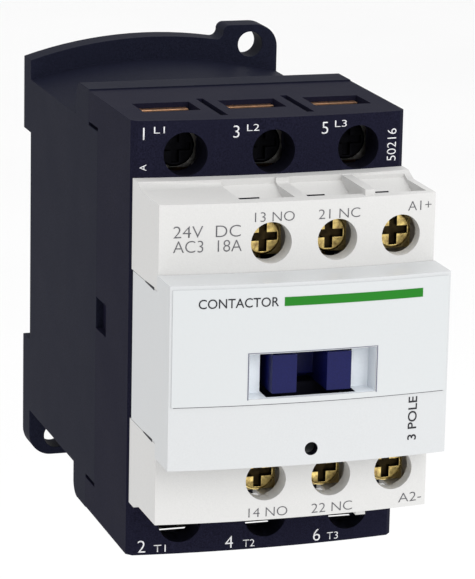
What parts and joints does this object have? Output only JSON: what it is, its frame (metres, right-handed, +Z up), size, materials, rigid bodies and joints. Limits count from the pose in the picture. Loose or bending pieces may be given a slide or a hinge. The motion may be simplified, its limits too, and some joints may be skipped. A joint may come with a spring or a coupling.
{
  "type": "din rail contactor",
  "caption": "Electromagnetic contactor for a mounting rail: a coil pulls a sprung carrier that closes power contacts, with screw terminals on two sides.",
  "frame": {"origin": "centre of the rear mounting plane, midway between the two diagonal mounting holes", "axes": "+X to the right seen from the front, +Y into the panel, +Z up towards the line terminals"},
  "size_m": [0.045, 0.095, 0.077],
  "materials": {
    "black_plastic": "fine matt moulded",
    "white_plastic": "satin moulded",
    "cover_plastic": "smooth satin moulded",
    "label_film": "clear-coated film",
    "zinc_steel": "zinc plated",
    "spring_steel": "drawn wire",
    "magnet_steel": "ground and oiled",
    "bobbin_plastic": "glass-filled",
    "enamelled_wire": "enamelled",
    "blue_plastic": "moulded",
    "contact_silver": "silver-faced copper",
    "tinned_copper": "stamped",
    "brass_plate": "stamped",
    "screw_steel": "nickel plated",
    "clamp_steel": "plated",
    "yellow_steel": "yellow passivated",
    "yellow_clamp": "yellow passivated"
  },
  "bodies": {
    "root": {"base_housing": "black_plastic", "pole_housing": "black_plastic", "control_housing": "white_plastic", "front_cover": "cover_plastic", "front_label": "label_film", "housing_screws": "zinc_steel", "rail_latch_springs": "spring_steel", "magnet_yoke": "magnet_steel", "magnet_core": "magnet_steel", "coil_bobbin": "bobbin_plastic", "coil_winding": "enamelled_wire", "return_springs": "spring_steel", "arc_plates": "zinc_steel", "line_terminal_1": "tinned_copper", "line_terminal_2": "tinned_copper", "line_terminal_3": "tinned_copper", "load_terminal_1": "tinned_copper", "load_terminal_2": "tinned_copper", "load_terminal_3": "tinned_copper", "aux_terminal_13": "brass_plate", "aux_terminal_14": "brass_plate", "aux_terminal_21": "brass_plate", "aux_terminal_22": "brass_plate", "coil_terminal_a1": "brass_plate", "coil_terminal_a2": "brass_plate"},
    "carrier": {"contact_carrier": "blue_plastic", "armature": "magnet_steel", "contact_springs": "spring_steel", "aux_contact_springs": "spring_steel"},
    "latch": {"rail_latch": "black_plastic"},
    "power_bridge_1": {"power_bridge_1": "contact_silver"},
    "power_bridge_2": {"power_bridge_2": "contact_silver"},
    "power_bridge_3": {"power_bridge_3": "contact_silver"},
    "aux_bridge_no": {"aux_bridge_no": "contact_silver"},
    "aux_bridge_nc": {"aux_bridge_nc": "contact_silver"},
    "power_clamp_1": {"power_clamp_1": "clamp_steel"},
    "power_screw_1": {"power_screw_1": "screw_steel"},
    "power_clamp_2": {"power_clamp_2": "clamp_steel"},
    "power_screw_2": {"power_screw_2": "screw_steel"},
    "power_clamp_3": {"power_clamp_3": "clamp_steel"},
    "power_screw_3": {"power_screw_3": "screw_steel"},
    "power_clamp_4": {"power_clamp_4": "clamp_steel"},
    "power_screw_4": {"power_screw_4": "screw_steel"},
    "power_clamp_5": {"power_clamp_5": "clamp_steel"},
    "power_screw_5": {"power_screw_5": "screw_steel"},
    "power_clamp_6": {"power_clamp_6": "clamp_steel"},
    "power_screw_6": {"power_screw_6": "screw_steel"},
    "control_clamp_13": {"control_clamp_13": "yellow_clamp"},
    "control_screw_13": {"control_screw_13": "yellow_steel"},
    "control_clamp_14": {"control_clamp_14": "yellow_clamp"},
    "control_screw_14": {"control_screw_14": "yellow_steel"},
    "control_clamp_21": {"control_clamp_21": "yellow_clamp"},
    "control_screw_21": {"control_screw_21": "yellow_steel"},
    "control_clamp_22": {"control_clamp_22": "yellow_clamp"},
    "control_screw_22": {"control_screw_22": "yellow_steel"},
    "control_clamp_a1": {"control_clamp_a1": "yellow_clamp"},
    "control_screw_a1": {"control_screw_a1": "yellow_steel"},
    "control_clamp_a2": {"control_clamp_a2": "yellow_clamp"},
    "control_screw_a2": {"control_screw_a2": "yellow_steel"}
  },
  "joints": [
    {"name": "carrier_slide", "type": "slide", "parent": "root", "child": "carrier", "axis": [0, 1, 0], "range_m": [0, 0.0045], "stiffness_N_per_m": 400, "springref_m": -0.004, "deforming": ["return_springs"]},
    {"name": "power_bridge_1_slide", "type": "slide", "parent": "carrier", "child": "power_bridge_1", "axis": [0, -1, 0], "range_m": [0, 0.0015], "deforming": ["contact_springs"]},
    {"name": "power_bridge_2_slide", "type": "slide", "parent": "carrier", "child": "power_bridge_2", "axis": [0, -1, 0], "range_m": [0, 0.0015]},
    {"name": "power_bridge_3_slide", "type": "slide", "parent": "carrier", "child": "power_bridge_3", "axis": [0, -1, 0], "range_m": [0, 0.0015]},
    {"name": "aux_bridge_no_slide", "type": "slide", "parent": "carrier", "child": "aux_bridge_no", "axis": [0, -1, 0], "range_m": [0, 0.0015], "deforming": ["aux_contact_springs"]},
    {"name": "aux_bridge_nc_slide", "type": "slide", "parent": "carrier", "child": "aux_bridge_nc", "axis": [0, -1, 0], "range_m": [0, 0.0009]},
    {"name": "rail_latch_slide", "type": "slide", "parent": "root", "child": "latch", "axis": [0, 0, -1], "range_m": [0, 0.003], "stiffness_N_per_m": 500, "springref_m": -0.002, "deforming": ["rail_latch_springs"]},
    {"name": "power_clamp_1_slide", "type": "slide", "parent": "root", "child": "power_clamp_1", "axis": [0, 1, 0], "range_m": [0, 0.003]},
    {"name": "power_screw_1_turn", "type": "hinge", "parent": "power_clamp_1", "child": "power_screw_1", "pos_m": [-0.01405, -0.065, 0.03], "axis": [0, 1, 0], "range_deg": [0, 1805]},
    {"name": "power_clamp_2_slide", "type": "slide", "parent": "root", "child": "power_clamp_2", "axis": [0, 1, 0], "range_m": [0, 0.003]},
    {"name": "power_screw_2_turn", "type": "hinge", "parent": "power_clamp_2", "child": "power_screw_2", "pos_m": [-0.01405, -0.065, -0.03], "axis": [0, 1, 0], "range_deg": [0, 1805]},
    {"name": "power_clamp_3_slide", "type": "slide", "parent": "root", "child": "power_clamp_3", "axis": [0, 1, 0], "range_m": [0, 0.003]},
    {"name": "power_screw_3_turn", "type": "hinge", "parent": "power_clamp_3", "child": "power_screw_3", "pos_m": [0.0002, -0.065, 0.03], "axis": [0, 1, 0], "range_deg": [0, 1805]},
    {"name": "power_clamp_4_slide", "type": "slide", "parent": "root", "child": "power_clamp_4", "axis": [0, 1, 0], "range_m": [0, 0.003]},
    {"name": "power_screw_4_turn", "type": "hinge", "parent": "power_clamp_4", "child": "power_screw_4", "pos_m": [0.0002, -0.065, -0.03], "axis": [0, 1, 0], "range_deg": [0, 1805]},
    {"name": "power_clamp_5_slide", "type": "slide", "parent": "root", "child": "power_clamp_5", "axis": [0, 1, 0], "range_m": [0, 0.003]},
    {"name": "power_screw_5_turn", "type": "hinge", "parent": "power_clamp_5", "child": "power_screw_5", "pos_m": [0.01445, -0.065, 0.03], "axis": [0, 1, 0], "range_deg": [0, 1805]},
    {"name": "power_clamp_6_slide", "type": "slide", "parent": "root", "child": "power_clamp_6", "axis": [0, 1, 0], "range_m": [0, 0.003]},
    {"name": "power_screw_6_turn", "type": "hinge", "parent": "power_clamp_6", "child": "power_screw_6", "pos_m": [0.01445, -0.065, -0.03], "axis": [0, 1, 0], "range_deg": [0, 1805]},
    {"name": "control_clamp_13_slide", "type": "slide", "parent": "root", "child": "control_clamp_13", "axis": [0, 1, 0], "range_m": [0, 0.0025]},
    {"name": "control_screw_13_turn", "type": "hinge", "parent": "control_clamp_13", "child": "control_screw_13", "pos_m": [-0.0048, -0.082, 0.019], "axis": [0, 1, 0], "range_deg": [0, 1805]},
    {"name": "control_clamp_14_slide", "type": "slide", "parent": "root", "child": "control_clamp_14", "axis": [0, 1, 0], "range_m": [0, 0.0025]},
    {"name": "control_screw_14_turn", "type": "hinge", "parent": "control_clamp_14", "child": "control_screw_14", "pos_m": [-0.0048, -0.082, -0.019], "axis": [0, 1, 0], "range_deg": [0, 1805]},
    {"name": "control_clamp_21_slide", "type": "slide", "parent": "root", "child": "control_clamp_21", "axis": [0, 1, 0], "range_m": [0, 0.0025]},
    {"name": "control_screw_21_turn", "type": "hinge", "parent": "control_clamp_21", "child": "control_screw_21", "pos_m": [0.0059, -0.082, 0.019], "axis": [0, 1, 0], "range_deg": [0, 1805]},
    {"name": "control_clamp_22_slide", "type": "slide", "parent": "root", "child": "control_clamp_22", "axis": [0, 1, 0], "range_m": [0, 0.0025]},
    {"name": "control_screw_22_turn", "type": "hinge", "parent": "control_clamp_22", "child": "control_screw_22", "pos_m": [0.0059, -0.082, -0.019], "axis": [0, 1, 0], "range_deg": [0, 1805]},
    {"name": "control_clamp_a1_slide", "type": "slide", "parent": "root", "child": "control_clamp_a1", "axis": [0, 1, 0], "range_m": [0, 0.0025]},
    {"name": "control_screw_a1_turn", "type": "hinge", "parent": "control_clamp_a1", "child": "control_screw_a1", "pos_m": [0.0165, -0.082, 0.019], "axis": [0, 1, 0], "range_deg": [0, 1805]},
    {"name": "control_clamp_a2_slide", "type": "slide", "parent": "root", "child": "control_clamp_a2", "axis": [0, 1, 0], "range_m": [0, 0.0025]},
    {"name": "control_screw_a2_turn", "type": "hinge", "parent": "control_clamp_a2", "child": "control_screw_a2", "pos_m": [0.0165, -0.082, -0.019], "axis": [0, 1, 0], "range_deg": [0, 1805]}
  ],
  "couplings": [
    {"joint": "power_bridge_1_slide", "follows": "carrier_slide", "ratio": 0.33333},
    {"joint": "power_bridge_2_slide", "follows": "carrier_slide", "ratio": 0.33333},
    {"joint": "power_bridge_3_slide", "follows": "carrier_slide", "ratio": 0.33333},
    {"joint": "aux_bridge_no_slide", "follows": "carrier_slide", "ratio": 0.33333},
    {"joint": "aux_bridge_nc_slide", "follows": "carrier_slide", "ratio": 0.2},
    {"joint": "power_screw_1_turn", "follows": "power_clamp_1_slide", "rad_per_m": 10472},
    {"joint": "power_screw_2_turn", "follows": "power_clamp_2_slide", "rad_per_m": 10472},
    {"joint": "power_screw_3_turn", "follows": "power_clamp_3_slide", "rad_per_m": 10472},
    {"joint": "power_screw_4_turn", "follows": "power_clamp_4_slide", "rad_per_m": 10472},
    {"joint": "power_screw_5_turn", "follows": "power_clamp_5_slide", "rad_per_m": 10472},
    {"joint": "power_screw_6_turn", "follows": "power_clamp_6_slide", "rad_per_m": 10472},
    {"joint": "control_screw_13_turn", "follows": "control_clamp_13_slide", "rad_per_m": 12566},
    {"joint": "control_screw_14_turn", "follows": "control_clamp_14_slide", "rad_per_m": 12566},
    {"joint": "control_screw_21_turn", "follows": "control_clamp_21_slide", "rad_per_m": 12566},
    {"joint": "control_screw_22_turn", "follows": "control_clamp_22_slide", "rad_per_m": 12566},
    {"joint": "control_screw_a1_turn", "follows": "control_clamp_a1_slide", "rad_per_m": 12566},
    {"joint": "control_screw_a2_turn", "follows": "control_clamp_a2_slide", "rad_per_m": 12566}
  ]
}
